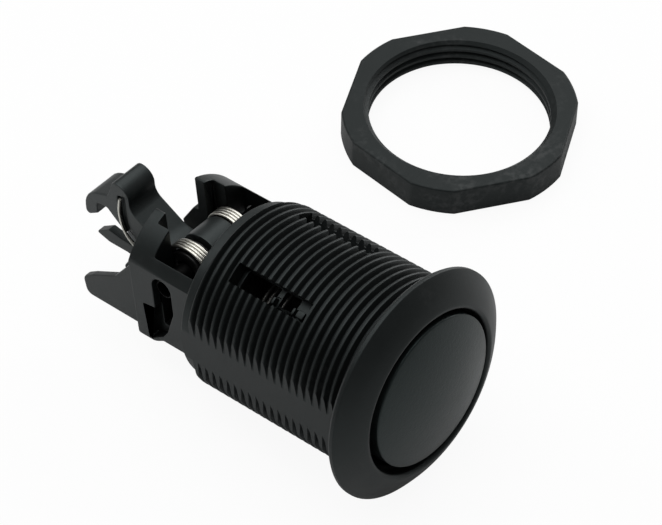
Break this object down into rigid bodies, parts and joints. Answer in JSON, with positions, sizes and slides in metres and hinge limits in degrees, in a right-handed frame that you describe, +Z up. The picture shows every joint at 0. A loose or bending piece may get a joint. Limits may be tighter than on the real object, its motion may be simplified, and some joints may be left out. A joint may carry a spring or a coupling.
{
  "type": "push-button latch",
  "caption": "Flanged push-button latch with a threaded round barrel, a sprung hook on a cross pin in the open cage behind it, and a loose locknut; pressing the button lifts the hook.",
  "frame": {"origin": "centre of the bounding box on the floor that the latch and its nut lie on", "axes": "+Z up from the floor; +X along the latch's pivot pin, from the latch towards the nut; +Y towards the hook end, with the barrel's axis dipping about 6 degrees below +Y because the flange lifts its front"},
  "size_m": [0.1014, 0.0721, 0.0385],
  "materials": {
    "black_nylon": "moulded black nylon, fine matt grain",
    "satin_button": "moulded black nylon, satin face",
    "black_acetal": "smooth black acetal",
    "blackened_steel": "blackened pin",
    "spring_steel": "bright drawn stainless wire"
  },
  "bodies": {
    "housing": {"threaded_barrel": "black_nylon", "latch_cage": "black_nylon", "pivot_pin": "blackened_steel", "near_spring_bush": "black_acetal", "far_spring_bush": "black_acetal", "button_return_spring": "spring_steel"},
    "button": {"button_cap": "satin_button", "button_plunger": "black_acetal"},
    "hook": {"latch_hook": "black_nylon", "near_torsion_spring": "spring_steel", "far_torsion_spring": "spring_steel"},
    "nut": {"locknut": "black_nylon"}
  },
  "joints": [
    {"name": "button_press", "type": "slide", "parent": "housing", "child": "button", "axis": [0, 0.9945, -0.1045], "range_m": [0, 0.0025], "stiffness_N_per_m": 800, "springref_m": -0.002, "deforming": ["button_return_spring"]},
    {"name": "hook_pivot", "type": "hinge", "parent": "housing", "child": "hook", "pos_m": [-0.03139, 0.0106, 0.01945], "axis": [1, 0, 0], "range_deg": [0, 18.3]},
    {"name": "nut_turn", "type": "hinge", "parent": "housing", "child": "nut", "pos_m": [0.03101, 0.01054, 0], "axis": [0, 0, 1], "continuous": true}
  ],
  "couplings": [
    {"joint": "hook_pivot", "follows": "button_press", "rad_per_m": 125.79}
  ]
}
